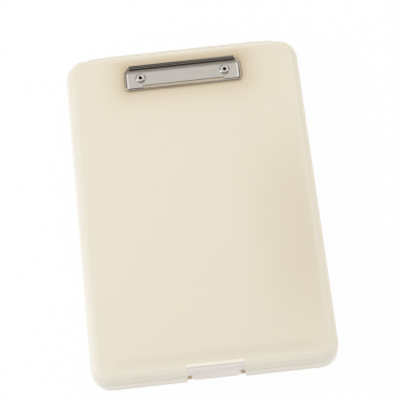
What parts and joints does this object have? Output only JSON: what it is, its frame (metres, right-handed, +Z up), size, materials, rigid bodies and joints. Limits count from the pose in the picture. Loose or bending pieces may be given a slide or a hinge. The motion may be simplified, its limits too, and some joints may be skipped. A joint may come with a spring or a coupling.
{
  "type": "storage clipboard box",
  "caption": "Flat hinged plastic case whose lid is a writing board, with a wire-jaw paper clip at the hinge end and a flap latch at the front.",
  "frame": {"origin": "on the table, under the middle of the case's bounding box", "axes": "+X to the right across the board, +Y along the board to the clip and hinge end, +Z up out of the writing face"},
  "size_m": [0.236, 0.35, 0.031],
  "materials": {
    "cream_shell": "milky cream polypropylene, smooth and slightly glossy",
    "white_latch": "natural whitish polypropylene, smooth",
    "steel_rod": "drawn wire",
    "satin_steel": "nickel plated, satin",
    "bright_wire": "nickel plated, bright",
    "spring_steel": "plain spring steel",
    "bright_rivet": "nickel plated, bright",
    "washer_steel": "zinc plated"
  },
  "bodies": {
    "case": {"base_tray": "cream_shell", "hinge_rod": "steel_rod"},
    "lid": {"lid_shell": "cream_shell", "clip_plate": "satin_steel", "rivet_left": "bright_rivet", "rivet_right": "bright_rivet", "washer_left": "washer_steel", "washer_right": "washer_steel", "spring_left": "spring_steel", "spring_right": "spring_steel"},
    "jaw": {"jaw_wire": "bright_wire"},
    "latch": {"front_latch": "white_latch"}
  },
  "joints": [
    {"name": "lid_hinge", "type": "hinge", "parent": "case", "child": "lid", "pos_m": [0, 0.1721, 0.017], "axis": [-1, 0, 0], "range_deg": [0, 175]},
    {"name": "jaw_pivot", "type": "hinge", "parent": "lid", "child": "jaw", "pos_m": [0, 0.1528, 0.0282], "axis": [-1, 0, 0], "range_deg": [0, 85], "stiffness_Nm_per_rad": 0.12, "springref_deg": -68.75},
    {"name": "latch_pivot", "type": "hinge", "parent": "lid", "child": "latch", "pos_m": [0, -0.1687, 0.02208], "axis": [-1, 0, 0], "range_deg": [0, 35]}
  ]
}
